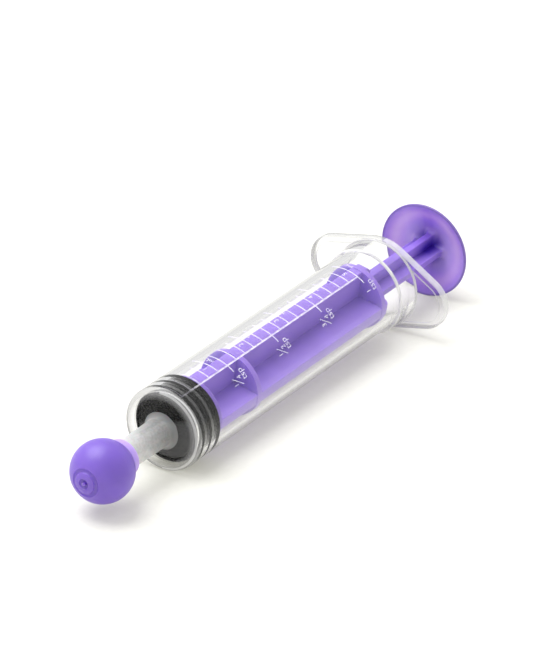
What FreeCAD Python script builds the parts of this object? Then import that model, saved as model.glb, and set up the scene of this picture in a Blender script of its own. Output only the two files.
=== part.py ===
import FreeCAD, Part
import math
import os
import Sketcher

# Oral syringe, 5 mL, lying at rest with the tip cap on and the plunger pushed fully in.
#
# Every body is drawn about its own X axis.  X = 0 of a body is the 0 mL plane, the front face of the
# bore, and +X runs back to the thumb disc.  Each body's Placement then lifts the axis until the thumb
# disc touches the floor (z = 0), centres the syringe's length on the frame's origin and rolls the
# flange to the angle at which the syringe lies.

# alias: (size in millimetres or degrees, what it is)
SIZES = {
    "zero_plane": (-27.1, "0 mL plane along the frame's X axis"),
    "lie_roll": (9.75, "roll of the finger flange's long axis from level, degrees"),
    "barrel_d": (13.5, "outside diameter of the barrel"),
    "bore_d": (11.5, "bore diameter"),
    "front_wall": (1.2, "thickness of the barrel's front wall"),
    "front_round": (0.9, "radius round the barrel's front edge"),
    "collar_d": (14.4, "diameter of the collar in front of the finger flange"),
    "collar_front": (54.3, "front edge of the collar"),
    "collar_round": (0.25, "rounding of the collar's front edge"),
    "flange_front": (58.5, "front face of the finger flange"),
    "flange_thick": (1.4, "thickness of the finger flange"),
    "flange_span": (25.4, "finger flange, tip to tip"),
    "flange_width": (15.2, "finger flange across the barrel"),
    "flange_tip_r": (4.5, "radius of the finger flange's tips"),
    "flange_rim": (1.1, "width of the raised rim round the flange's front face"),
    "flange_recess": (0.3, "height of that rim"),
    "flange_edge": (0.3, "rounding of the flange's edges"),
    "bore_chamfer": (0.35, "lead-in chamfer at the rear end of the bore"),
    "nozzle_root_d": (4.75, "nozzle diameter at the front wall"),
    "nozzle_tip_d": (4.3, "nozzle diameter at its tip"),
    "nozzle_bore_d": (2.2, "bore of the nozzle"),
    "nozzle_reach": (15.2, "nozzle tip, in front of the 0 mL plane"),
    "nozzle_fillet": (0.8, "fillet where the nozzle meets the front wall"),
    "stopper_gap": (0.15, "stopper's front face from the 0 mL plane at rest"),
    "stopper_long": (5.1, "length of the stopper"),
    "rib_d": (11.4, "diameter of the stopper's sealing ribs"),
    "groove_d": (10.5, "diameter at the bottom of the stopper's grooves"),
    "stopper_nose_d": (9.8, "diameter of the stopper's front face"),
    "rib_width": (0.8, "width of the two front ribs"),
    "groove_width": (1.1, "width of the stopper's two grooves"),
    "head_d": (5.4, "diameter of the plunger's head inside the stopper"),
    "head_front": (1.6, "front of the plunger's head"),
    "head_long": (1.6, "length of the plunger's head"),
    "head_land": (0.5, "straight rear part of the plunger's head"),
    "neck_d": (3.8, "diameter of the neck behind the head"),
    "socket_gap": (0.08, "clearance between the head or neck and the stopper"),
    "end_plate": (5.45, "front face of the plate behind the stopper"),
    "plate_thick": (1.0, "thickness of the plunger's plates"),
    "plate_d": (10.6, "diameter of the plunger's plates"),
    "front_plate": (16.1, "front face of the front guide plate"),
    "rear_plate": (51.0, "front face of the rear guide plate"),
    "fin_reach": (5.2, "from the axis to a fin's edge inside the barrel"),
    "fin_thick": (1.8, "thickness of the plunger's wide fins"),
    "fin_end": (53.8, "rear end of the wide fins"),
    "stem_reach": (2.55, "from the axis to a fin's edge behind the wide fins"),
    "stem_thick": (1.1, "thickness of the fins behind the wide fins"),
    "shoulder_r": (1.6, "rounding of the wide fins' rear corners"),
    "thumb_d": (15.7, "diameter of the thumb disc"),
    "thumb_front": (72.3, "front edge of the thumb disc's rim"),
    "thumb_back": (75.4, "rear face of the thumb disc"),
    "thumb_dish": (2.1, "depth of the dished front of the thumb disc"),
    "thumb_dish_d": (15.3, "diameter of that dish"),
    "thumb_round": (0.12, "rounding of the thumb disc's rear edge"),
    "thumb_rim": (0.4, "thickness of the thumb disc at its rim"),
    "thumb_flat_d": (6.0, "diameter of the flat in the middle of the domed back"),
    "thumb_dome_r": (8.6, "radius of the domed back"),
    "stem_fillet": (0.85, "fillet between the stem and the thumb disc"),
    "fin_round": (0.15, "rounding of the fins' long edges"),
    "ball_d": (9.8, "diameter of the tip cap's ball"),
    "ball_centre": (16.3, "centre of the ball, in front of the 0 mL plane"),
    "sleeve_d": (5.9, "outside diameter of the cap's sleeve"),
    "sleeve_end": (11.1, "open end of the sleeve, in front of the 0 mL plane"),
    "cap_gap": (0.06, "clearance between the nozzle and the cap"),
    "socket_end": (15.6, "closed end of the cap's socket, in front of the 0 mL plane"),
    "ring_d": (3.95, "mean diameter of the ring groove on the ball's front"),
    "ring_width": (0.7, "width of the ring groove"),
    "ring_round": (0.41, "radius of the ring groove's round bottom"),
    "dimple_d": (1.7, "diameter of the gate dimple"),
    "dimple_round": (0.6, "radius of the gate dimple's round wall"),
    "dimple_floor": (20.75, "bottom of the gate dimple, in front of the 0 mL plane"),
    "gate_d": (0.55, "diameter of the gate stub in the dimple"),
    "step_volume": (250.0, "volume of one graduation, cubic millimetres"),
    "steps": (20.0, "number of graduations"),
    "mark_steps": (4.0, "graduations from one long mark to the next"),
    "spoon_steps": (5.0, "graduations from one teaspoon mark to the next"),
    "long_line_angle": (2.4, "angle that the scale's long line covers, degrees"),
    "ink_thick": (0.03, "thickness of the printed scale"),
    "line_width": (0.22, "width of the printed lines"),
    "scale_angle": (105.1, "angle of the scale's long line from the flange's long axis, degrees"),
    "tick_angle": (30.0, "arc of a short graduation, degrees"),
    "mark_angle": (40.0, "arc of a 1 mL graduation, degrees"),
    "spoon_angle": (13.2, "arc of a quarter-teaspoon graduation, degrees"),
}

document = FreeCAD.newDocument("oral_syringe")
sheet = document.addObject("Spreadsheet::Sheet", "Sheet")
for row, (alias, (size, meaning)) in enumerate(SIZES.items(), start=1):
    sheet.set("A%d" % row, alias)
    sheet.set("B%d" % row, str(size))
    sheet.set("C%d" % row, meaning)
    sheet.setAlias("B%d" % row, alias)
document.recompute()


def size(alias):
    """The size that the sheet holds under this alias."""
    return sheet.get(alias)


def value(expression):
    """What an expression over the sheet's aliases comes to."""
    found = sheet.evalExpression(expression)
    return float(getattr(found, "Value", found))


def new_body(label):
    """A body whose placement lays its axis down where the sheet says."""
    body = document.addObject("PartDesign::Body", label)
    body.Label = label
    body.Placement = FreeCAD.Placement(
        FreeCAD.Vector(size("zero_plane"), 0, size("thumb_d") / 2),
        FreeCAD.Rotation(FreeCAD.Vector(1, 0, 0), size("lie_roll")),
    )
    body.setExpression("Placement.Base.x", "Sheet.zero_plane")
    body.setExpression("Placement.Base.z", "Sheet.thumb_d / 2")
    body.setExpression("Placement.Rotation.Angle", "Sheet.lie_roll")
    return body


def new_sketch(body, label, role, offset=None):
    """An empty sketch on one of the body's own origin planes, or at an offset from it."""
    sketch = body.newObject("Sketcher::SketchObject", label)
    plane = next(item for item in body.Origin.OriginFeatures if item.Role == role)
    sketch.AttachmentSupport = [(plane, "")]
    sketch.MapMode = "FlatFace"
    if offset:
        sketch.setExpression("AttachmentOffset.Base.z", offset)
        document.recompute()
    return sketch


def pin(sketch, kind, geometry, point, expression):
    """Hold a coordinate of a sketch point at the value of an expression."""
    index = sketch.addConstraint(Sketcher.Constraint(kind, geometry, point, value(expression)))
    sketch.setExpression("Constraints[%d]" % index, expression)


def hold_radius(sketch, geometry, expression):
    """Hold the radius of an arc or a circle at the value of an expression."""
    index = sketch.addConstraint(Sketcher.Constraint("Radius", geometry, value(expression)))
    sketch.setExpression("Constraints[%d]" % index, expression)


def arc_between(start, end, radius, side):
    """The arc under half a turn from start to end; it bulges to the left for side 1, right for -1."""
    chord = end - start
    left = FreeCAD.Vector(-chord.y, chord.x, 0).normalize()
    half = chord.Length / 2
    rise = radius - math.sqrt(max(radius * radius - half * half, 0))
    middle = (start + end) * 0.5 + left * (side * rise)
    return Part.Arc(start, middle, end)


def add_outline(sketch, path):
    """Add a closed outline.

    Each point of the path is a pair of expressions, and the stretch from it to the next is straight.
    A point with two more entries, a radius expression and a side, starts an arc instead.
    """
    points = [FreeCAD.Vector(value(point[0]), value(point[1]), 0) for point in path]
    arcs = []
    ends = []
    for i, point in enumerate(path):
        start, end = points[i], points[(i + 1) % len(path)]
        if len(point) == 2:
            geometry = sketch.addGeometry(Part.LineSegment(start, end), False)
            ends.append((geometry, 1, 2))
        else:
            curve = arc_between(start, end, value(point[2]), point[3])
            geometry = sketch.addGeometry(curve, False)
            forward = sketch.getPoint(geometry, 1).distanceToPoint(start) < 1e-6
            ends.append((geometry, 1, 2) if forward else (geometry, 2, 1))
            arcs.append((geometry, point[2]))
    for i, (geometry, first, last) in enumerate(ends):
        following = ends[(i + 1) % len(ends)]
        joint = Sketcher.Constraint("Coincident", geometry, last, following[0], following[1])
        sketch.addConstraint(joint)
    for (geometry, first, last), point in zip(ends, path):
        pin(sketch, "DistanceX", geometry, first, point[0])
        pin(sketch, "DistanceY", geometry, first, point[1])
    for geometry, radius in arcs:
        hold_radius(sketch, geometry, radius)


def revolve(body, label, path, kind="PartDesign::Revolution", turn=None):
    """Turn an outline, drawn as (station along X, distance from X), round the body's X axis."""
    sketch = new_sketch(body, label + "_outline", "XY_Plane")
    add_outline(sketch, path)
    feature = body.newObject(kind, label)
    feature.Profile = sketch
    feature.ReferenceAxis = (sketch, ["H_Axis"])
    feature.Angle = 360
    if turn:
        feature.setExpression("Angle", turn)
    document.recompute()
    return feature


def cut_round(body, label, path):
    """Cut a revolved outline out of the body."""
    return revolve(body, label, path, kind="PartDesign::Groove")


def rim_edges(feature, station, radius):
    """Names of the circular edges of a feature at a station and radius on the X axis."""
    names = []
    for number, edge in enumerate(feature.Shape.Edges, start=1):
        if edge.Degenerated or not isinstance(edge.Curve, Part.Circle):
            continue
        centre = edge.Curve.Center
        on_axis = math.hypot(centre.y, centre.z) < 1e-4
        if on_axis and abs(centre.x - station) < 1e-4 and abs(edge.Curve.Radius - radius) < 1e-4:
            names.append("Edge%d" % number)
    return names


def round_edges(body, label, feature, edges, radius):
    """Fillet the named edges of a feature with a radius from the sheet."""
    fillet = body.newObject("PartDesign::Fillet", label)
    fillet.Base = (feature, edges)
    fillet.Radius = size(radius)
    fillet.setExpression("Radius", "Sheet." + radius)
    document.recompute()
    return fillet


# ---------------------------------------------------------------- barrel

def add_flange_outline(sketch, inset):
    """The eye-shaped outline: two broad arcs about the axis, two tip arcs and four tangent lines."""
    middle_radius = "Sheet.flange_width / 2" + inset
    tip_radius = "Sheet.flange_tip_r" + inset
    tip_reach = "Sheet.flange_span / 2 - Sheet.flange_tip_r"
    middle, tip, reach = value(middle_radius), value(tip_radius), value(tip_reach)
    lean = math.acos((middle - tip) / reach)
    axis = FreeCAD.Vector(0, 0, 0)
    right = FreeCAD.Vector(reach, 0, 0)
    left = FreeCAD.Vector(-reach, 0, 0)

    def arc(centre, radius, start, end):
        circle = Part.Circle(centre, FreeCAD.Vector(0, 0, 1), radius)
        return sketch.addGeometry(Part.ArcOfCircle(circle, start, end), False)

    def line(centre_1, radius_1, centre_2, radius_2, angle):
        outward = FreeCAD.Vector(math.cos(angle), math.sin(angle), 0)
        segment = Part.LineSegment(centre_1 + outward * radius_1, centre_2 + outward * radius_2)
        return sketch.addGeometry(segment, False)

    right_tip = arc(right, tip, -lean, lean)
    upper_right = line(right, tip, axis, middle, lean)
    top = arc(axis, middle, lean, math.pi - lean)
    upper_left = line(axis, middle, left, tip, math.pi - lean)
    left_tip = arc(left, tip, math.pi - lean, math.pi + lean)
    lower_left = line(left, tip, axis, middle, math.pi + lean)
    bottom = arc(axis, middle, math.pi + lean, 2 * math.pi - lean)
    lower_right = line(axis, middle, right, tip, -lean)
    loop = [right_tip, upper_right, top, upper_left, left_tip, lower_left, bottom, lower_right]
    for here, following in zip(loop, loop[1:] + loop[:1]):
        sketch.addConstraint(Sketcher.Constraint("Tangent", here, 2, following, 1))
    for broad_arc in (top, bottom):
        sketch.addConstraint(Sketcher.Constraint("Coincident", broad_arc, 3, -1, 1))
        hold_radius(sketch, broad_arc, middle_radius)
    for tip_arc, sign in ((right_tip, ""), (left_tip, "-")):
        sketch.addConstraint(Sketcher.Constraint("PointOnObject", tip_arc, 3, -1))
        pin(sketch, "DistanceX", tip_arc, 3, sign + "(" + tip_reach + ")")
        hold_radius(sketch, tip_arc, tip_radius)


def add_circle(sketch, radius):
    """A circle about the body's axis with its radius from an expression."""
    circle = Part.Circle(FreeCAD.Vector(0, 0, 0), FreeCAD.Vector(0, 0, 1), value(radius))
    geometry = sketch.addGeometry(circle, False)
    sketch.addConstraint(Sketcher.Constraint("Coincident", geometry, 3, -1, 1))
    hold_radius(sketch, geometry, radius)


def make_barrel():
    """Clear barrel: nozzle, front wall, bored tube, collar and finger flange in one moulding."""
    body = new_body("barrel")
    back = "Sheet.flange_front + Sheet.flange_thick"
    shell = revolve(body, "shell", [
        ("-Sheet.nozzle_reach", "Sheet.nozzle_bore_d / 2"),
        ("-Sheet.nozzle_reach", "Sheet.nozzle_tip_d / 2"),
        ("-Sheet.front_wall", "Sheet.nozzle_root_d / 2"),
        ("-Sheet.front_wall", "Sheet.barrel_d / 2"),
        (back, "Sheet.barrel_d / 2"),
        (back, "Sheet.bore_d / 2"),
        ("0", "Sheet.bore_d / 2"),
        ("0", "Sheet.nozzle_bore_d / 2"),
    ])
    front = -size("front_wall")
    front_edge = rim_edges(shell, front, size("barrel_d") / 2)
    rounded = round_edges(body, "front_edge", shell, front_edge, "front_round")
    root = rim_edges(rounded, front, size("nozzle_root_d") / 2)
    round_edges(body, "nozzle_root", rounded, root, "nozzle_fillet")

    plate_sketch = new_sketch(body, "flange_outline", "YZ_Plane", "Sheet.flange_front")
    add_flange_outline(plate_sketch, "")
    add_circle(plate_sketch, "Sheet.barrel_d / 2")
    plate = body.newObject("PartDesign::Pad", "flange")
    plate.Profile = plate_sketch
    plate.setExpression("Length", "Sheet.flange_thick")
    document.recompute()

    floor = "Sheet.flange_front + Sheet.flange_recess"
    recess_sketch = new_sketch(body, "recess_outline", "YZ_Plane", floor)
    add_flange_outline(recess_sketch, " - Sheet.flange_rim")
    recess = body.newObject("PartDesign::Pocket", "recess")
    recess.Profile = recess_sketch
    recess.setExpression("Length", "Sheet.flange_recess")
    document.recompute()
    assert recess.Shape.Volume < plate.Shape.Volume, "the flange's recess cuts nothing"

    collar = revolve(body, "collar", [
        ("Sheet.collar_front", "Sheet.bore_d / 2"),
        ("Sheet.collar_front", "Sheet.collar_d / 2"),
        (back, "Sheet.collar_d / 2"),
        (back, "Sheet.bore_d / 2"),
    ])
    collar_edge = rim_edges(collar, size("collar_front"), size("collar_d") / 2)
    stepped = round_edges(body, "collar_edge", collar, collar_edge, "collar_round")
    eased = round_edges(body, "flange_edges", stepped, flange_edges(stepped), "flange_edge")
    mouth = rim_edges(eased, size("flange_front") + size("flange_thick"), size("bore_d") / 2)
    chamfer = body.newObject("PartDesign::Chamfer", "bore_mouth")
    chamfer.Base = (eased, mouth)
    chamfer.setExpression("Size", "Sheet.bore_chamfer")
    document.recompute()
    return body


def flange_edges(feature):
    """Names of the outer edges of the finger flange, round its front and rear faces."""
    front = size("flange_front")
    stations = (front, front + size("flange_thick"))
    outer = []
    for face in feature.Shape.Faces:
        box = face.BoundBox
        spans = box.YLength > size("flange_span") - 0.01
        if spans and any(abs(box.XMin - x) < 1e-4 and abs(box.XMax - x) < 1e-4 for x in stations):
            outer += face.OuterWire.Edges
    return ["Edge%d" % number for number, edge in enumerate(feature.Shape.Edges, start=1)
            if any(edge.isSame(other) for other in outer)]


# ---------------------------------------------------------------- stopper

def make_stopper():
    """Rubber stopper: three ribs, two round grooves, and a socket for the plunger's head."""
    body = new_body("stopper")
    depth = "((Sheet.rib_d - Sheet.groove_d) / 2)"
    groove_radius = "((Sheet.groove_width / 2)^2 + %s^2) / (2 * %s)" % (depth, depth)
    front = "Sheet.stopper_gap"
    back = "Sheet.stopper_gap + Sheet.stopper_long"
    slope = "(Sheet.rib_d - Sheet.stopper_nose_d) / 2"
    first_rib = front + " + " + slope
    first_groove = first_rib + " + Sheet.rib_width"
    second_rib = first_groove + " + Sheet.groove_width"
    second_groove = second_rib + " + Sheet.rib_width"
    rear_rib = second_groove + " + Sheet.groove_width"
    head_back = "Sheet.head_front + Sheet.head_long + Sheet.socket_gap"
    revolve(body, "stopper_shape", [
        (front, "0"),
        (front, "Sheet.stopper_nose_d / 2"),
        (first_rib, "Sheet.rib_d / 2"),
        (first_groove, "Sheet.rib_d / 2", groove_radius, -1),
        (second_rib, "Sheet.rib_d / 2"),
        (second_groove, "Sheet.rib_d / 2", groove_radius, -1),
        (rear_rib, "Sheet.rib_d / 2"),
        (back, "Sheet.rib_d / 2"),
        (back, "Sheet.neck_d / 2 + Sheet.socket_gap"),
        (head_back, "Sheet.neck_d / 2 + Sheet.socket_gap"),
        (head_back, "Sheet.head_d / 2 + Sheet.socket_gap"),
        ("Sheet.head_front - Sheet.socket_gap", "Sheet.head_d / 2 + Sheet.socket_gap"),
        ("Sheet.head_front - Sheet.socket_gap", "0"),
    ])
    return body


# ---------------------------------------------------------------- plunger rod

def add_guide_plate(body, label, station):
    """A round plate across the fins."""
    return revolve(body, label, [
        (station, "0"),
        (station, "Sheet.plate_d / 2"),
        (station + " + Sheet.plate_thick", "Sheet.plate_d / 2"),
        (station + " + Sheet.plate_thick", "0"),
    ])


def make_plunger_rod():
    """Plunger: snap-in head, neck, three round plates, four fins and the thumb disc."""
    body = new_body("plunger_rod")
    head_back = "Sheet.head_front + Sheet.head_long"
    revolve(body, "head_and_neck", [
        ("Sheet.head_front", "0"),
        ("Sheet.head_front", "Sheet.neck_d / 2"),
        (head_back + " - Sheet.head_land", "Sheet.head_d / 2"),
        (head_back, "Sheet.head_d / 2"),
        (head_back, "Sheet.neck_d / 2"),
        ("Sheet.end_plate", "Sheet.neck_d / 2"),
        ("Sheet.end_plate", "Sheet.plate_d / 2"),
        ("Sheet.end_plate + Sheet.plate_thick", "Sheet.plate_d / 2"),
        ("Sheet.end_plate + Sheet.plate_thick", "0"),
    ])
    add_fins(body)
    add_guide_plate(body, "front_guide_plate", "Sheet.front_plate")
    add_guide_plate(body, "rear_guide_plate", "Sheet.rear_plate")
    dish_radius = "((Sheet.thumb_dish_d / 2)^2 + Sheet.thumb_dish^2) / (2 * Sheet.thumb_dish)"
    thumb = revolve(body, "thumb_disc", [
        ("Sheet.thumb_front", "Sheet.thumb_d / 2"),
        ("Sheet.thumb_front", "Sheet.thumb_dish_d / 2", dish_radius, 1),
        ("Sheet.thumb_front + Sheet.thumb_dish", "0"),
        ("Sheet.thumb_back", "0"),
        ("Sheet.thumb_back", "Sheet.thumb_flat_d / 2", "Sheet.thumb_dome_r", 1),
        ("Sheet.thumb_front + Sheet.thumb_rim", "Sheet.thumb_d / 2"),
    ])
    rim = []
    for station in (size("thumb_front"), size("thumb_front") + size("thumb_rim")):
        rim += rim_edges(thumb, station, size("thumb_d") / 2)
    rounded = round_edges(body, "thumb_edge", thumb, rim, "thumb_round")
    round_edges(body, "stem_foot", rounded, stem_foot_edges(rounded), "stem_fillet")
    return body


def stem_foot_edges(feature):
    """Names of the edges where the stem meets the thumb disc's dished front."""
    start = size("fin_end") + 1
    end = size("thumb_front") + size("thumb_dish")
    reach = size("stem_reach") + 0.01
    names = []
    for number, edge in enumerate(feature.Shape.Edges, start=1):
        box = edge.BoundBox
        inside = max(abs(box.YMin), abs(box.YMax), abs(box.ZMin), abs(box.ZMax)) < reach
        if inside and box.XMin > start and box.XMax < end and box.XLength < 0.3:
            names.append("Edge%d" % number)
    return names


def add_blade(body, label, thickness, path):
    """A flat blade through the axis, from its outline of stations and distances from the axis."""
    sketch = new_sketch(body, label + "_outline", "XY_Plane")
    add_outline(sketch, path)
    blade = body.newObject("PartDesign::Pad", label)
    blade.Profile = sketch
    blade.Midplane = True
    blade.setExpression("Length", thickness)
    document.recompute()
    return blade


def add_fins(body):
    """Two crossed blades: wide and thick inside the barrel, and narrow and thin from there to the disc."""
    start = "Sheet.end_plate + Sheet.plate_thick / 2"
    shoulder = "Sheet.fin_end - Sheet.shoulder_r"
    corner = "Sheet.shoulder_r"
    wide = "Sheet.fin_reach"
    blade = add_blade(body, "blade", "Sheet.fin_thick", [
        (start, "-" + wide),
        (shoulder, "-" + wide, corner, -1),
        ("Sheet.fin_end", "-" + wide + " + " + corner),
        ("Sheet.fin_end", wide + " - " + corner, corner, -1),
        (shoulder, wide),
        (start, wide),
    ])
    end = "Sheet.thumb_front + Sheet.thumb_dish"
    narrow = "Sheet.stem_reach"
    stem = add_blade(body, "stem", "Sheet.stem_thick", [
        (shoulder, "-" + narrow),
        (end, "-" + narrow),
        (end, narrow),
        (shoulder, narrow),
    ])
    cross = body.newObject("PartDesign::PolarPattern", "crossed_blades")
    cross.Originals = [blade, stem]
    cross.Axis = (next(item for item in body.Origin.OriginFeatures if item.Role == "X_Axis"), [""])
    cross.Angle = 90
    cross.Occurrences = 2
    body.Tip = cross
    document.recompute()
    round_edges(body, "fin_edges", cross, fin_edges(cross), "fin_round")


def fin_edges(feature):
    """Names of the fins' long outer edges, on their wide part and on the narrow stem."""
    corners = (
        (size("fin_thick") / 2, size("fin_reach")),
        (size("stem_thick") / 2, size("stem_reach")),
    )
    names = []
    for number, edge in enumerate(feature.Shape.Edges, start=1):
        box = edge.BoundBox
        across = sorted((abs(box.YMin), abs(box.ZMin)))
        straight = edge.Length > 1 and abs(box.XLength - edge.Length) < 1e-3
        if straight and any(math.dist(across, corner) < 1e-3 for corner in corners):
            names.append("Edge%d" % number)
    return names


# ---------------------------------------------------------------- tip cap

def make_tip_cap():
    """Ball-shaped cap with a tapered socket, a sleeve, and a ring groove and gate dimple in front."""
    body = new_body("tip_cap")
    join = "sqrt((Sheet.ball_d / 2)^2 - (Sheet.sleeve_d / 2)^2)"
    taper = "(Sheet.nozzle_root_d - Sheet.nozzle_tip_d) / 2 / (Sheet.nozzle_reach - Sheet.front_wall)"
    mouth = "Sheet.nozzle_tip_d / 2 + %s * (Sheet.nozzle_reach - Sheet.sleeve_end)" % taper
    revolve(body, "ball_and_sleeve", [
        ("-Sheet.sleeve_end", mouth + " + Sheet.cap_gap"),
        ("-Sheet.sleeve_end", "Sheet.sleeve_d / 2"),
        ("-Sheet.ball_centre + " + join, "Sheet.sleeve_d / 2", "Sheet.ball_d / 2", -1),
        ("-Sheet.ball_centre", "Sheet.ball_d / 2", "Sheet.ball_d / 2", -1),
        ("-Sheet.ball_centre - Sheet.ball_d / 2", "0"),
        ("-Sheet.socket_end", "0"),
        ("-Sheet.socket_end", "Sheet.nozzle_tip_d / 2 + Sheet.cap_gap"),
        ("-Sheet.nozzle_reach", "Sheet.nozzle_tip_d / 2 + Sheet.cap_gap"),
    ])
    ahead = "-Sheet.ball_centre - Sheet.ball_d / 2 - 1"
    on_ball = "-Sheet.ball_centre - sqrt((Sheet.ball_d / 2)^2 - (%s)^2)"
    inner = "(Sheet.ring_d - Sheet.ring_width) / 2"
    outer = "(Sheet.ring_d + Sheet.ring_width) / 2"
    whole = body.Tip.Shape.Volume
    cut_round(body, "ring_groove", [
        (ahead, inner),
        (on_ball % inner, inner, "Sheet.ring_round", -1),
        (on_ball % outer, outer),
        (ahead, outer),
    ])
    grooved = body.Tip.Shape.Volume
    cut_round(body, "gate_dimple", [
        (ahead, "Sheet.gate_d / 2"),
        (ahead, "Sheet.dimple_d / 2"),
        (on_ball % "Sheet.dimple_d / 2", "Sheet.dimple_d / 2", "Sheet.dimple_round", 1),
        ("-Sheet.dimple_floor", "Sheet.gate_d / 2"),
    ])
    dimpled = body.Tip.Shape.Volume
    assert dimpled < grooved < whole, "a groove in the cap's front cuts nothing"
    return body


# ---------------------------------------------------------------- printed scale

def add_ink(body, label, start, length, turn, back=False):
    """A thin patch of ink on the barrel, turned round the axis from the scale's long line."""
    feature = revolve(body, label, [
        (start, "Sheet.barrel_d / 2"),
        (start, "Sheet.barrel_d / 2 + Sheet.ink_thick"),
        (start + " + " + length, "Sheet.barrel_d / 2 + Sheet.ink_thick"),
        (start + " + " + length, "Sheet.barrel_d / 2"),
    ], turn=turn)
    feature.Reversed = back
    document.recompute()
    return feature


def repeat_along(body, label, feature, length, occurrences):
    """Repeat a feature evenly along the barrel."""
    pattern = body.newObject("PartDesign::LinearPattern", label)
    pattern.Originals = [feature]
    pattern.Direction = (next(item for item in body.Origin.OriginFeatures if item.Role == "X_Axis"), [""])
    pattern.setExpression("Length", length)
    pattern.setExpression("Occurrences", occurrences)
    body.Tip = pattern
    document.recompute()


def make_scale_print():
    """White printed scale: a long line, twenty graduations and the teaspoon graduations."""
    body = new_body("scale_print")
    body.setExpression("Placement.Rotation.Angle", "Sheet.lie_roll + Sheet.scale_angle")
    pitch = "(Sheet.step_volume / (pi * (Sheet.bore_d / 2)^2))"
    width = "Sheet.line_width"
    half = "Sheet.line_width / 2"
    whole = pitch + " * Sheet.steps"
    mark_pitch = pitch + " * Sheet.mark_steps"
    spoon_pitch = pitch + " * Sheet.spoon_steps"
    add_ink(body, "long_line", "-" + half, whole + " + " + width, "Sheet.long_line_angle")
    tick = add_ink(body, "tick", "-" + half, width, "Sheet.tick_angle", back=True)
    repeat_along(body, "ticks", tick, whole, "Sheet.steps + 1")
    mark = add_ink(body, "mark", mark_pitch + " - " + half, width, "Sheet.mark_angle", back=True)
    repeat_along(body, "marks", mark, whole + " - " + mark_pitch, "Sheet.steps / Sheet.mark_steps")
    spoon = add_ink(body, "spoon_mark", spoon_pitch + " - " + half, width, "Sheet.spoon_angle")
    repeat_along(body, "spoon_marks", spoon, whole + " - " + spoon_pitch, "Sheet.steps / Sheet.spoon_steps")
    return body


# ---------------------------------------------------------------- build, check and write

BODIES = [make_barrel(), make_scale_print(), make_stopper(), make_plunger_rod(), make_tip_cap()]
document.recompute()
for item in document.Objects:
    for state in ("Invalid", "Error"):
        assert state not in item.State, "%s is %s" % (item.Label, state)
for body in BODIES:
    assert not body.Shape.isNull() and body.Shape.isValid(), body.Label + " has no valid shape"
os.makedirs("parts", exist_ok=True)
for body in BODIES:
    body.Shape.exportStep("parts/%s.step" % body.Label)
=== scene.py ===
import math

import bmesh
import bpy
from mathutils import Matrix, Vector


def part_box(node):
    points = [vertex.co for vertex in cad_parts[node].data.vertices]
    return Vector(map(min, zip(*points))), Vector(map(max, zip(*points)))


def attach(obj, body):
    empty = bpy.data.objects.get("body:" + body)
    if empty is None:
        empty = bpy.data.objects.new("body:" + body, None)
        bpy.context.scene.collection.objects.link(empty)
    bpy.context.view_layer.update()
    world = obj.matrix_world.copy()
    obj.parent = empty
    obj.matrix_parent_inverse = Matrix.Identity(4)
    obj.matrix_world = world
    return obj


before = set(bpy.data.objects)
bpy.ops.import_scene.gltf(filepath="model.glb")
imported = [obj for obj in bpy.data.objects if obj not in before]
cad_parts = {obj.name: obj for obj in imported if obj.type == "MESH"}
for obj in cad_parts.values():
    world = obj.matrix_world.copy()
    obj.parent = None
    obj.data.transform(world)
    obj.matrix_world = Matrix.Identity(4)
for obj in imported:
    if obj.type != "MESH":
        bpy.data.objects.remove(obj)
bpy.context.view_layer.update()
MM = 0.001


# ---------------------------------------------------------------- places on the syringe
# A station is a distance in mm behind the scale's zero line; in front of that line, stations are negative.

LINE_WIDTH = 0.22 * MM
PRINT_LOW, PRINT_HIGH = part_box("scale_print")
CAP_LOW, CAP_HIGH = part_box("tip_cap")
AXIS_HEIGHT = (CAP_LOW.z + CAP_HIGH.z) / 2
ZERO_X = PRINT_LOW.x + LINE_WIDTH / 2
STEPS = 20
STEP = (PRINT_HIGH.x - PRINT_LOW.x - LINE_WIDTH) / STEPS
BARREL_RADIUS = 6.75 * MM
INK_HEIGHT = 0.03 * MM
# The barrel's roll of 9.75 degrees and the scale's 105.1 degrees round it.
LONG_LINE_ANGLE = math.radians(114.85)

# Stations and radii, in mm, that part the faces of the barrel.
NOZZLE_END = -1.21
FRONT_RIM_END = -0.2
FRONT_RIM_INNER = 5.8
COLLAR_STEP_START, COLLAR_STEP_END = 54.2, 54.7
COLLAR_STEP_INNER = 6.7
FLANGE_START = 58.4
FLANGE_FRONT = 58.8
FLANGE_INNER = 7.3
MOUTH_START = 59.4
MOUTH_OUTER = 6.3
OUTSIDE_INNER = 6.0
BORE_INNER = 5.6

# How much of a face's normal runs along the axis: none on the tube, all of it on a face square to the axis.
TUBE_LEAN = 0.03
ROUNDED_LEAN = 0.78
SQUARE_LEAN = 0.97

# Where the normals of the flange's bright side stop: they face the camera's side, and not far downwards.
BRIGHT_SIDE_Y, BRIGHT_SIDE_Z = -0.15, -0.5

# The stopper's grooves, as the stations where each one starts, is full, is still full and ends.
GROOVES = ((1.15, 1.3, 2.1, 2.25), (3.05, 3.2, 4.0, 4.15))
GROOVES_END = 6.0
# Which way the stopper's front face is parted; below the parting a reflection of the lit floor is painted.
REFLECTION_SLOPE = (0.0, -0.27, -0.96)


def on_barrel(station, arc, height=0.0):
    """A point on the barrel, all in metres: behind the zero line, and along the arc from the long line."""
    angle = LONG_LINE_ANGLE + arc / BARREL_RADIUS
    radius = BARREL_RADIUS + height
    return Vector((ZERO_X + station, radius * math.cos(angle), AXIS_HEIGHT + radius * math.sin(angle)))


# ---------------------------------------------------------------- shader helpers

PATTERN_LOW, PATTERN_HIGH = 0.35, 0.65
SKIN_DEPTH = 0.02 * MM
WALL_SHADE = 0.88
TUBE_SHADE = 0.96


def grey(level):
    """A grey colour."""
    return (level, level, level, 1.0)


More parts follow.
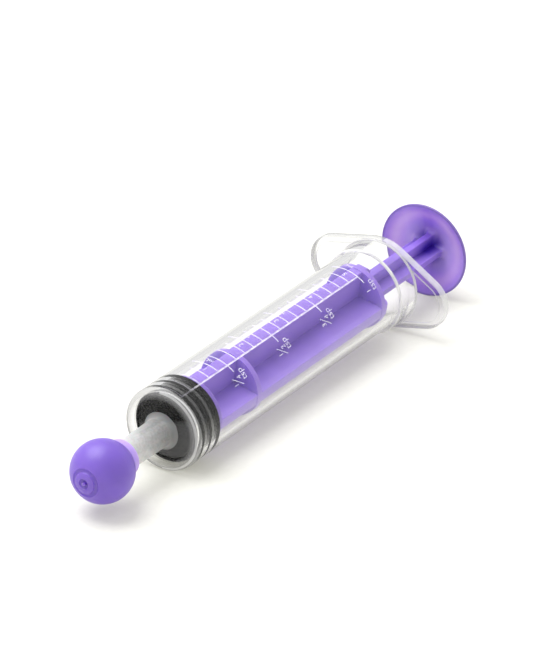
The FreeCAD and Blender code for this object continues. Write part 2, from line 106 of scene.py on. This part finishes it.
def new_material(name, **sockets):
    """A material with a Principled shader; sockets are set by name."""
    material = bpy.data.materials.new(name)
    material.use_nodes = True
    shader = material.node_tree.nodes["Principled BSDF"]
    for socket, setting in sockets.items():
        shader.inputs[socket.replace("_", " ")].default_value = setting
    return material, material.node_tree, shader


def own_place(tree):
    """Where a point lies in object space."""
    return tree.nodes.new("ShaderNodeTexCoord").outputs["Object"]


def split_place(tree):
    """Where a point lies in object space, as outputs named X, Y and Z."""
    split = tree.nodes.new("ShaderNodeSeparateXYZ")
    tree.links.new(own_place(tree), split.inputs["Vector"])
    return split.outputs


def add_noise(tree, scale, detail=3.0):
    """A noise pattern in object space."""
    noise = tree.nodes.new("ShaderNodeTexNoise")
    noise.inputs["Scale"].default_value = scale
    noise.inputs["Detail"].default_value = detail
    tree.links.new(own_place(tree), noise.inputs["Vector"])
    return noise.outputs["Fac"]


def add_bump(tree, shader, source, strength):
    """Fine relief on a shader from a grey pattern."""
    bump = tree.nodes.new("ShaderNodeBump")
    bump.inputs["Strength"].default_value = strength
    bump.inputs["Distance"].default_value = SKIN_DEPTH
    tree.links.new(source, bump.inputs["Height"])
    tree.links.new(bump.outputs["Normal"], shader.inputs["Normal"])


def add_ramp(tree, source, low, high, target=None):
    """Turn a grey pattern into a run between two colours or two greys, and drive a socket with it."""
    ramp = tree.nodes.new("ShaderNodeValToRGB")
    ramp.color_ramp.elements[0].position = PATTERN_LOW
    ramp.color_ramp.elements[0].color = low
    ramp.color_ramp.elements[1].position = PATTERN_HIGH
    ramp.color_ramp.elements[1].color = high
    tree.links.new(source, ramp.inputs["Fac"])
    if target is not None:
        tree.links.new(ramp.outputs["Color"], target)
    return ramp.outputs["Color"]


def combine(tree, operation, first, second=None):
    """A maths operation on one grey or on two; the second can be a plain number."""
    joined = tree.nodes.new("ShaderNodeMath")
    joined.operation = operation
    tree.links.new(first, joined.inputs[0])
    if isinstance(second, float):
        joined.inputs[1].default_value = second
    elif second is not None:
        tree.links.new(second, joined.inputs[1])
    return joined.outputs["Value"]


def spread(tree, source, start, end, low=0.0, high=1.0):
    """A grey that runs from low to high, and stays there, while the source runs from start to end."""
    span = tree.nodes.new("ShaderNodeMapRange")
    span.inputs["From Min"].default_value = start
    span.inputs["From Max"].default_value = end
    span.inputs["To Min"].default_value = low
    span.inputs["To Max"].default_value = high
    tree.links.new(source, span.inputs["Value"])
    return span.outputs["Result"]


def along_axis(tree, start, end):
    """A grey that runs from 0 at one station to 1 at another."""
    return spread(tree, split_place(tree)["X"], ZERO_X + start * MM, ZERO_X + end * MM)


def from_axis(tree):
    """The distance from the barrel's axis."""
    lower = tree.nodes.new("ShaderNodeVectorMath")
    lower.operation = "SUBTRACT"
    lower.inputs[1].default_value = (0.0, 0.0, AXIS_HEIGHT)
    flatten = tree.nodes.new("ShaderNodeVectorMath")
    flatten.operation = "MULTIPLY"
    flatten.inputs[1].default_value = (0.0, 1.0, 1.0)
    length = tree.nodes.new("ShaderNodeVectorMath")
    length.operation = "LENGTH"
    tree.links.new(own_place(tree), lower.inputs[0])
    tree.links.new(lower.outputs["Vector"], flatten.inputs[0])
    tree.links.new(flatten.outputs["Vector"], length.inputs[0])
    return length.outputs["Value"]


def blend_colours(tree, factor, first, second, target=None):
    """Mix two colours, either of them a socket or a plain colour, by a grey."""
    mix = tree.nodes.new("ShaderNodeMix")
    mix.data_type = "RGBA"
    tree.links.new(factor, mix.inputs["Factor"])
    for name, colour in (("A", first), ("B", second)):
        socket = [entry for entry in mix.inputs if entry.name == name and entry.type == "RGBA"][0]
        if isinstance(colour, tuple):
            socket.default_value = colour
        else:
            tree.links.new(colour, socket)
    result = [entry for entry in mix.outputs if entry.type == "RGBA"][0]
    if target is not None:
        tree.links.new(result, target)
    return result


def edge_on(tree, power):
    """A grey that rises from 0, where a surface is seen square on, to 1 at its outline."""
    weight = tree.nodes.new("ShaderNodeLayerWeight")
    weight.inputs["Blend"].default_value = 0.5
    return combine(tree, "POWER", weight.outputs["Facing"], power)


def mix_shaders(material, factor, first, second):
    """Show a mix of two shaders, by a grey, as the material's surface."""
    tree = material.node_tree
    mix = tree.nodes.new("ShaderNodeMixShader")
    tree.links.new(factor, mix.inputs["Fac"])
    tree.links.new(first.outputs["BSDF"], mix.inputs[1])
    tree.links.new(second.outputs["BSDF"], mix.inputs[2])
    tree.links.new(mix.outputs["Shader"], tree.nodes["Material Output"].inputs["Surface"])


def let_lamps_through(material, one_way):
    """Glass that casts a light shadow and passes bounced light straight through.

    One-way glass also lets a ray that is inside it out without bending it.
    """
    tree = material.node_tree
    path = tree.nodes.new("ShaderNodeLightPath")
    straight = combine(tree, "MAXIMUM", path.outputs["Is Shadow Ray"], path.outputs["Is Diffuse Ray"])
    if one_way:
        side = tree.nodes.new("ShaderNodeNewGeometry")
        straight = combine(tree, "MAXIMUM", straight, side.outputs["Backfacing"])
    clear = tree.nodes.new("ShaderNodeBsdfTransparent")
    clear.inputs["Color"].default_value = grey(TUBE_SHADE)
    mix_shaders(material, straight, tree.nodes["Principled BSDF"], clear)


def see_through(material, tint, edge_tint, haze, edge_haze, power, extra=None):
    """Show what lies behind a clear wall of little thickness, tinted and hazed more where the wall is seen
    edge on.

    Where the grey called extra is higher than that haze, it takes the haze's place.
    """
    tree = material.node_tree
    outline = edge_on(tree, power)
    clear = tree.nodes.new("ShaderNodeBsdfTransparent")
    seen = blend_colours(tree, outline, tint, edge_tint)
    path = tree.nodes.new("ShaderNodeLightPath")
    blend_colours(tree, path.outputs["Is Shadow Ray"], seen, grey(WALL_SHADE), clear.inputs["Color"])
    share = spread(tree, outline, 0.0, 1.0, haze, edge_haze)
    if extra is not None:
        share = combine(tree, "MAXIMUM", share, extra)
    mix_shaders(material, share, clear, tree.nodes["Principled BSDF"])


# ---------------------------------------------------------------- materials

PLUNGER_COLOURS = (0.265, 0.160, 0.60, 1.0), (0.295, 0.180, 0.66, 1.0)
END_PLATE_COLOUR = (0.20, 0.115, 0.50, 1.0)
# The thumb disc's painted light and shade: a shaded and a lit copy of its colour, and painted shade towards
# its rim, on its rim and at its middle.
DISC_SHADED, DISC_LIT = (0.24, 0.13, 0.56, 1.0), (0.46, 0.33, 0.74, 1.0)
DISC_OUTER_SHADE = (0.27, 0.15, 0.58, 1.0)
DISC_RIM_SHADE = (0.17, 0.11, 0.36, 1.0)
DISC_MIDDLE_SHADE = (0.05, 0.014, 0.38, 1.0)
CAP_COLOURS = (0.168, 0.091, 0.475, 1.0), (0.190, 0.105, 0.525, 1.0)
SLEEVE_COLOUR = (0.44, 0.31, 0.83, 1.0)
INK_COLOURS = (0.80, 0.76, 0.93, 1.0), (0.93, 0.91, 0.98, 1.0)


def thumb_disc_tint(tree, colour, target):
    """Paint light and shade on the thumb disc: painted highlights on two lobes to its sides, weaker low
    down, and painted shade between them, towards its rim, on its rim and at its middle, where the fins meet
    it.
    """
    place = split_place(tree)
    radius = from_axis(tree)
    # Painted highlights on two lobes to the disc's sides, weaker low down, with the shaded colour between
    # them.
    lobes = spread(tree, combine(tree, "ABSOLUTE", place["Y"]), 0.6 * MM, 3.8 * MM)
    upper = spread(tree, place["Z"], AXIS_HEIGHT - 4.0 * MM, AXIS_HEIGHT + 1.0 * MM, 0.45, 1.0)
    lit_lobes = blend_colours(tree, combine(tree, "MULTIPLY", lobes, upper), DISC_SHADED, DISC_LIT)
    # Painted shade towards the rim, on the rim, and at the middle, where the fins meet the disc.
    outer = spread(tree, radius, 4.5 * MM, 7.6 * MM, 0.0, 0.6)
    outer_shaded = blend_colours(tree, outer, lit_lobes, DISC_OUTER_SHADE)
    rim = spread(tree, radius, 7.35 * MM, 7.7 * MM)
    edged = blend_colours(tree, rim, outer_shaded, DISC_RIM_SHADE)
    middle = spread(tree, radius, 1.2 * MM, 3.2 * MM)
    disc = blend_colours(tree, middle, DISC_MIDDLE_SHADE, edged)
    blend_colours(tree, along_axis(tree, 68.0, 71.5), colour, disc, target)


def purple_plastic(name, colours, glow):
    """Slightly translucent moulded plastic with a fine satin skin.

    Returns the material, its shader and its cloudy colour, which the caller leads to the base colour.
    """
    material, tree, shader = new_material(
        name, Roughness=0.38, IOR=1.49, Subsurface_Weight=glow, Subsurface_Scale=4.6 * MM * glow)
    shader.inputs["Subsurface Radius"].default_value = (0.6, 0.45, 1.0)
    colour = add_ramp(tree, add_noise(tree, 180.0), *colours)
    skin = add_noise(tree, 5200.0, 2.0)
    add_ramp(tree, skin, grey(0.36), grey(0.46), shader.inputs["Roughness"])
    add_bump(tree, shader, skin, 0.05)
    return material, shader, colour


def plunger_plastic():
    """The plunger rod's plastic: darker at its end plate, with painted shade and painted highlights across
    its thumb disc.
    """
    material, shader, colour = purple_plastic("purple_plastic", PLUNGER_COLOURS, 0.35)
    tree = material.node_tree
    rod = blend_colours(tree, along_axis(tree, 6.7, 6.3), colour, END_PLATE_COLOUR)
    thumb_disc_tint(tree, rod, shader.inputs["Base Color"])
    return material


def cap_plastic():
    """The tip cap's plastic, a darker purple with a pale sleeve."""
    material, shader, colour = purple_plastic("cap_plastic", CAP_COLOURS, 0.60)
    tree = material.node_tree
    blend_colours(tree, along_axis(tree, -12.6, -12.2), colour, SLEEVE_COLOUR, shader.inputs["Base Color"])
    return material


def clear_plastic():
    """The barrel's clear walls, of little thickness, with painted shade that makes them greyer round its
    front shoulder.
    """
    material, tree, shader = new_material("clear_plastic", IOR=1.5)
    skin = add_noise(tree, 420.0, 2.0)
    wall = add_ramp(tree, skin, grey(0.80), grey(0.88))
    # Painted shade: the front wall is greyer, and hazier towards its outer ring.
    front = along_axis(tree, 0.2, -0.2)
    ring = spread(tree, from_axis(tree), 4.9 * MM, 5.8 * MM, 0.0, 0.38)
    blend_colours(tree, front, wall, grey(0.42), shader.inputs["Base Color"])
    add_ramp(tree, skin, grey(0.08), grey(0.16), shader.inputs["Roughness"])
    see_through(material, tint=grey(0.935), edge_tint=grey(0.70), haze=0.01, edge_haze=0.45, power=4.0,
                extra=combine(tree, "MULTIPLY", ring, front))
    return material


def clear_wall(name, one_way):
    """The clear wall of the barrel's tube, which bends what is seen through it."""
    material, tree, shader = new_material(
        name, Base_Color=grey(0.97), IOR=1.40, Transmission_Weight=1.0, Specular_Tint=grey(0.35))
    if one_way:
        blend_colours(tree, edge_on(tree, 5.5), grey(0.97), grey(0.05), shader.inputs["Base Color"])
    skin = add_noise(tree, 420.0, 2.0)
    add_ramp(tree, skin, grey(0.02), grey(0.05), shader.inputs["Roughness"])
    let_lamps_through(material, one_way)
    return material


def clear_edges():
    """The barrel's thick edges and steps, which gather light and look whiter than its walls."""
    material, tree, shader = new_material("clear_edges", IOR=1.5)
    skin = add_noise(tree, 900.0, 2.0)
    add_ramp(tree, skin, grey(0.74), grey(0.84), shader.inputs["Base Color"])
    add_ramp(tree, skin, grey(0.08), grey(0.16), shader.inputs["Roughness"])
    see_through(material, tint=grey(0.93), edge_tint=grey(0.72), haze=0.50, edge_haze=0.80, power=1.5)
    return material


def clear_rims():
    """The barrel's outer rims, with painted shade: grey, as they look against a pale background, and
    darkest at their rear.
    """
    material, tree, shader = new_material("clear_rims", IOR=1.5)
    skin = add_noise(tree, 900.0, 2.0)
    # Painted shade: darker towards the flange's rear, and grey on the front rim.
    front = add_ramp(tree, skin, grey(0.56), grey(0.64))
    rear = add_ramp(tree, skin, grey(0.30), grey(0.36))
    flange = blend_colours(tree, along_axis(tree, 59.1, 59.8), front, rear)
    blend_colours(tree, along_axis(tree, 1.0, 0.0), flange, grey(0.42), shader.inputs["Base Color"])
    add_ramp(tree, skin, grey(0.08), grey(0.16), shader.inputs["Roughness"])
    see_through(material, tint=grey(0.90), edge_tint=grey(0.28), haze=0.42, edge_haze=0.75, power=2.0)
    return material


def frosted_plastic():
    """The nozzle's milky moulded plastic, whose mould was left rough, with painted shade towards its root
    and a painted highlight on the fillet at its root.
    """
    material, tree, shader = new_material(
        "frosted_plastic", IOR=1.4, Subsurface_Weight=0.2, Subsurface_Scale=1.0 * MM)
    skin = add_noise(tree, 2600.0)
    # Painted shade: darker near the root than at the far end; a painted highlight lightens the root's
    # fillet.
    near = add_ramp(tree, skin, grey(0.40), grey(0.50))
    far = add_ramp(tree, skin, grey(0.72), grey(0.82))
    shaft = blend_colours(tree, along_axis(tree, -3.0, -10.0), near, far)
    blend_colours(tree, along_axis(tree, -2.6, -1.4), shaft, grey(0.50), shader.inputs["Base Color"])
    add_ramp(tree, skin, grey(0.30), grey(0.42), shader.inputs["Roughness"])
    add_bump(tree, shader, skin, 0.08)
    see_through(material, tint=grey(0.88), edge_tint=grey(0.72), haze=0.36, edge_haze=0.80, power=1.5)
    return material


def groove_bands(tree):
    """A colour that is white in the stopper's two grooves and black elsewhere."""
    bands = tree.nodes.new("ShaderNodeValToRGB")
    stops = bands.color_ramp.elements
    stops[1].color = grey(0.0)
    for groove in GROOVES:
        for station, level in zip(groove, (0.0, 1.0, 1.0, 0.0)):
            stop = stops.new(station / GROOVES_END)
            stop.color = grey(level)
    tree.links.new(along_axis(tree, 0.0, GROOVES_END), bands.inputs["Fac"])
    return bands.outputs["Color"]


def front_bloom(tree):
    """A grey that is 1 on the lower part of the stopper's front face, where a reflection of the lit floor
    is painted.
    """
    slope = tree.nodes.new("ShaderNodeVectorMath")
    slope.operation = "DOT_PRODUCT"
    slope.inputs[1].default_value = REFLECTION_SLOPE
    tree.links.new(own_place(tree), slope.inputs[0])
    on_axis = REFLECTION_SLOPE[2] * AXIS_HEIGHT
    lower = spread(tree, slope.outputs["Value"], on_axis - 1.1 * MM, on_axis - 0.5 * MM)
    return combine(tree, "MULTIPLY", lower, along_axis(tree, 0.45, 0.25))


def black_rubber():
    """Black stopper rubber: blacker ribs, with a painted reflection that greys the grooves between them and
    the lower part of its front.
    """
    material, tree, shader = new_material("black_rubber", IOR=1.45, Specular_IOR_Level=0.25)
    skin = add_noise(tree, 2400.0)
    deep = add_ramp(tree, skin, grey(0.006), grey(0.012))
    # Painted reflection: the grooves are greyer than the ribs.
    groove_reflection = add_ramp(tree, skin, grey(0.05), grey(0.08))
    banded = blend_colours(tree, groove_bands(tree), deep, groove_reflection)
    # Painted reflection of the lit floor on the lower front.
    blend_colours(tree, front_bloom(tree), banded, grey(0.10), shader.inputs["Base Color"])
    add_ramp(tree, skin, grey(0.22), grey(0.34), shader.inputs["Roughness"])
    add_bump(tree, shader, skin, 0.03)
    return material


def white_ink():
    """Printed white ink in a fine layer: a little uneven, and fainter towards the tip."""
    material, tree, shader = new_material("white_ink", Roughness=0.5)
    cover = add_noise(tree, 1500.0)
    add_ramp(tree, cover, *INK_COLOURS, shader.inputs["Base Color"])
    full = add_ramp(tree, cover, grey(0.34), grey(0.54))
    blend_colours(tree, along_axis(tree, 2.0, 6.5), grey(0.06), full, shader.inputs["Alpha"])
    return material


def assign(node, *materials):
    """Give a CAD node its materials; the first covers it all."""
    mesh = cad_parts[node].data
    mesh.materials.clear()
    for material in materials:
        mesh.materials.append(material)
    return mesh


CLEAR, EDGE, FROSTED, OUTSIDE, BORE, RIM = range(6)


def barrel_finish(polygon):
    """Which finish a face of the barrel has, from where it lies and which way it faces."""
    station = (polygon.center.x - ZERO_X) / MM
    radius = math.hypot(polygon.center.y, polygon.center.z - AXIS_HEIGHT) / MM
    normal = polygon.normal
    lean = abs(normal.x)
    level = lean < TUBE_LEAN
    if station < NOZZLE_END:
        return FROSTED
    if station < FRONT_RIM_END and radius > FRONT_RIM_INNER and not level:
        return EDGE if ROUNDED_LEAN < lean < SQUARE_LEAN and normal.y < 0 else RIM
    if COLLAR_STEP_START < station < COLLAR_STEP_END and radius > COLLAR_STEP_INNER and not level:
        return EDGE
    if station > FLANGE_START and radius > FLANGE_INNER and lean < SQUARE_LEAN:
        bright_side = normal.y < BRIGHT_SIDE_Y and normal.z > BRIGHT_SIDE_Z
        return EDGE if bright_side or level and station < FLANGE_FRONT else RIM
    if station > MOUTH_START and radius < MOUTH_OUTER:
        return EDGE
    if level and radius > OUTSIDE_INNER:
        return OUTSIDE
    if level and radius > BORE_INNER:
        return BORE
    return CLEAR


INK = white_ink()
RUBBER = black_rubber()
CLEAR_EDGES = clear_edges()
barrel_mesh = assign("barrel", clear_plastic(), CLEAR_EDGES, frosted_plastic(),
                     clear_wall("clear_outside", True), clear_wall("clear_bore", False), clear_rims())
for polygon in barrel_mesh.polygons:
    polygon.material_index = barrel_finish(polygon)
assign("stopper", RUBBER)
assign("plunger_rod", plunger_plastic())
assign("tip_cap", cap_plastic())
assign("scale_print", INK)


def new_piece(sheet, name, material):
    """Turn a sheet of faces into a piece with one material."""
    bmesh.ops.recalc_face_normals(sheet, faces=sheet.faces)
    mesh = bpy.data.meshes.new(name)
    sheet.to_mesh(mesh)
    sheet.free()
    mesh.materials.append(material)
    piece = bpy.data.objects.new(name, mesh)
    bpy.context.scene.collection.objects.link(piece)
    return piece


# ---------------------------------------------------------------- printed numerals
# Sizes in mm; a place is a station and an arc from the graduation that the print belongs to.

CONDENSED = 0.9
WELD = 0.0005
STROKE_PARTS = 4
FRACTIONS = {5: ("1", "4"), 10: ("1", "2"), 15: ("3", "4")}
TSP_EM, TSP_PLACE = 1.74, (1.5, 2.45)
DIGIT_EM = 1.4
UPPER_PLACE, LOWER_PLACE = (-1.2, 3.45), (0.2, 2.6)
BAR_START, BAR_END = (0.4, 3.85), (-1.4, 2.35)
BAR_WIDTH = 0.13
WHOLE_EM, WHOLE_PLACE = DIGIT_EM * 1.1, (-0.2, 3.0)
COUNT_EM, COUNT_PLACE = 1.35, (-1.3, -1.5)
ML_EM, ML_PLACE = 1.15, (1.2, -2.4)
MARK_STEPS, SPOON_STEPS = 4, 5


def glyph_mesh(text, em):
    """A mesh of letters from the built-in font, in mm; it stands on its baseline."""
    curve = bpy.data.curves.new("glyphs", "FONT")
    curve.body = text
    curve.size = em
    curve.extrude = INK_HEIGHT / MM / 2
    curve.resolution_u = 4
    holder = bpy.data.objects.new("glyphs", curve)
    bpy.context.scene.collection.objects.link(holder)
    bpy.context.view_layer.update()
    mesh = bpy.data.meshes.new_from_object(holder.evaluated_get(bpy.context.evaluated_depsgraph_get()))
    bpy.data.objects.remove(holder)
    return mesh


def print_text(sheet, text, em, middle):
    """Add letters to a sheet of print; middle is the station and arc, in mm, of the letters' middle."""
    mesh = glyph_mesh(text, em)
    letters = bmesh.new()
    letters.from_mesh(mesh)
    bmesh.ops.remove_doubles(letters, verts=letters.verts, dist=WELD)
    lows = [min(vertex.co[axis] for vertex in letters.verts) for axis in (0, 1)]
    highs = [max(vertex.co[axis] for vertex in letters.verts) for axis in (0, 1)]
    for vertex in letters.verts:
        along = (vertex.co.x - (lows[0] + highs[0]) / 2) * CONDENSED
        up = vertex.co.y - (lows[1] + highs[1]) / 2
        height = vertex.co.z * MM + INK_HEIGHT / 2
        vertex.co = on_barrel((middle[0] - up) * MM, (middle[1] - along) * MM, height)
    bent = bpy.data.meshes.new("bent")
    letters.to_mesh(bent)
    letters.free()
    sheet.from_mesh(bent)
    bpy.data.meshes.remove(bent)
    bpy.data.meshes.remove(mesh)


def print_stroke(sheet, start, end, width):
    """Add one straight stroke between two places given as station and arc in mm."""
    run = Vector((end[0] - start[0], end[1] - start[1]))
    side = Vector((-run.y, run.x)).normalized() * width / 2
    rows = []
    for count in range(STROKE_PARTS + 1):
        place = Vector(start) + run * count / STROKE_PARTS
        row = [on_barrel((place + turn * side).x * MM, (place + turn * side).y * MM, height)
               for turn, height in ((-1, 0.0), (1, 0.0), (1, INK_HEIGHT), (-1, INK_HEIGHT))]
        rows.append([sheet.verts.new(point) for point in row])
    for first, second in zip(rows, rows[1:]):
        for near, far in ((0, 1), (1, 2), (2, 3), (3, 0)):
            sheet.faces.new((first[near], first[far], second[far], second[near]))
    sheet.faces.new(rows[0])
    sheet.faces.new(list(reversed(rows[-1])))


def finish_print(sheet, name):
    """Turn a sheet of print into a piece on the barrel."""
    piece = new_piece(sheet, name, INK)
    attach(piece, "barrel_body")


def beside(step, place):
    """A place given from a graduation, as a station and an arc."""
    return (step * STEP / MM + place[0], place[1])


def print_teaspoons():
    """Teaspoon fractions behind the quarter marks, on the side away from the millilitres."""
    sheet = bmesh.new()
    for step in range(SPOON_STEPS, STEPS + 1, SPOON_STEPS):
        print_text(sheet, "tsp", TSP_EM, beside(step, TSP_PLACE))
        if step in FRACTIONS:
            upper, lower = FRACTIONS[step]
            print_text(sheet, upper, DIGIT_EM, beside(step, UPPER_PLACE))
            print_text(sheet, lower, DIGIT_EM, beside(step, LOWER_PLACE))
            print_stroke(sheet, beside(step, BAR_START), beside(step, BAR_END), BAR_WIDTH)
        else:
            print_text(sheet, "1", WHOLE_EM, beside(step, WHOLE_PLACE))
    finish_print(sheet, "teaspoon_numerals")


def print_millilitres():
    """Millilitre numerals beside the long graduations."""
    sheet = bmesh.new()
    for count in range(1, STEPS // MARK_STEPS + 1):
        step = count * MARK_STEPS
        print_text(sheet, str(count), COUNT_EM, beside(step, COUNT_PLACE))
        print_text(sheet, "mL", ML_EM, beside(step, ML_PLACE))
    finish_print(sheet, "millilitre_numerals")


print_teaspoons()
print_millilitres()

# ---------------------------------------------------------------- rib crowns and collar fillet

RING_TURNS = 144
RIB_STATIONS = ((0.40, 1.12), (2.28, 3.02), (4.18, 5.20))
RIB_INNER, RIB_OUTER, RIB_CROWN = 5.60, 5.70, 0.06
FILLET_START, FILLET_END = 58.30, 58.79
FILLET_INNER, FILLET_OUTER, FILLET_CROWN = 7.15, 7.30, 0.12


def add_ring(sheet, start, end, inner, outer, crown):
    """Add a closed ring round the axis, from one station to another in mm, with a crowned outside."""
    profile = [(start, inner), (start, outer), (start + crown, outer + crown),
               (end - crown, outer + crown), (end, outer), (end, inner)]
    rows = []
    for count in range(RING_TURNS):
        angle = math.tau * count / RING_TURNS
        row = [Vector((ZERO_X + station * MM, radius * MM * math.cos(angle),
                       AXIS_HEIGHT + radius * MM * math.sin(angle))) for station, radius in profile]
        rows.append([sheet.verts.new(point) for point in row])
    for first, second in zip(rows, rows[1:] + rows[:1]):
        for near in range(len(profile)):
            far = (near + 1) % len(profile)
            sheet.faces.new((first[near], first[far], second[far], second[near]))


def squeeze_ribs():
    """The crowns of the stopper's ribs, pressed against the bore."""
    sheet = bmesh.new()
    for start, end in RIB_STATIONS:
        add_ring(sheet, start, end, RIB_INNER, RIB_OUTER, RIB_CROWN)
    piece = new_piece(sheet, "rib_crowns", RUBBER)
    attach(piece, "stopper_body")


def collar_fillet():
    """The small moulded fillet between the collar and the finger flange."""
    sheet = bmesh.new()
    add_ring(sheet, FILLET_START, FILLET_END, FILLET_INNER, FILLET_OUTER, FILLET_CROWN)
    piece = new_piece(sheet, "collar_fillet", CLEAR_EDGES)
    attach(piece, "barrel_body")


squeeze_ribs()
collar_fillet()

# ---------------------------------------------------------------- stage

FLOOR_SIZE = 3.0
FLOOR_COLOURS = (0.61, 0.61, 0.585, 1.0), (0.63, 0.63, 0.605, 1.0)
FLOOR_GLOW, FLOOR_GLOW_COLOUR = 0.23, (1.0, 0.98, 0.80, 1.0)
RIM_REST, DISC_REST = -0.6, 73.2
LIGHT_PLACE = Vector((-0.04, 0.22, 0.55))
LIGHT_WIDTH, LIGHT_POWER = 0.45, 3.6
WORLD_STRENGTH = 0.88
CAMERA_PLACE = (-0.5713, -0.3791, 0.3600)
CAMERA_AIM = Vector((0.7431, 0.4931, -0.4524))
LENS, SENSOR_WIDTH = 340.7, 36.0


def make_floor():
    """A plain pale floor that the thumb disc and the barrel's front rim both touch."""
    bpy.ops.mesh.primitive_plane_add(size=FLOOR_SIZE)
    floor = bpy.context.object
    floor.name = "floor"
    rim_x = ZERO_X + RIM_REST * MM
    disc_x = ZERO_X + DISC_REST * MM
    rise = AXIS_HEIGHT - BARREL_RADIUS
    floor.rotation_euler.y = math.atan2(rise, disc_x - rim_x)
    floor.location.z = rise * disc_x / (disc_x - rim_x)
    material, tree, shader = new_material("floor_paper", Roughness=0.9)
    add_ramp(tree, add_noise(tree, 900.0), *FLOOR_COLOURS, shader.inputs["Base Color"])
    shader.inputs["Emission Color"].default_value = FLOOR_GLOW_COLOUR
    shader.inputs["Emission Strength"].default_value = FLOOR_GLOW
    floor.data.materials.append(material)


def make_light():
    """A soft square studio light above the syringe, aimed at its middle."""
    data = bpy.data.lights.new("overhead", "AREA")
    data.shape = "SQUARE"
    data.size = LIGHT_WIDTH
    data.energy = LIGHT_POWER
    light = bpy.data.objects.new("overhead", data)
    light.location = LIGHT_PLACE
    light.rotation_euler = (-LIGHT_PLACE).to_track_quat("-Z", "Y").to_euler()
    bpy.context.scene.collection.objects.link(light)


def make_world():
    """Dim even light from all round."""
    world = bpy.data.worlds.new("studio")
    world.use_nodes = True
    background = world.node_tree.nodes["Background"]
    background.inputs["Color"].default_value = grey(1.0)
    background.inputs["Strength"].default_value = WORLD_STRENGTH
    bpy.context.scene.world = world


def make_camera():
    """A long lens above and in front of the tip, on its left."""
    data = bpy.data.cameras.new("camera")
    data.sensor_fit = "HORIZONTAL"
    data.sensor_width = SENSOR_WIDTH
    data.lens = LENS
    camera = bpy.data.objects.new("camera", data)
    camera.location = CAMERA_PLACE
    camera.rotation_euler = CAMERA_AIM.to_track_quat("-Z", "Y").to_euler()
    bpy.context.scene.collection.objects.link(camera)
    bpy.context.scene.camera = camera


make_floor()
make_world()
make_light()
make_camera()
bpy.context.scene.view_settings.view_transform = "Standard"
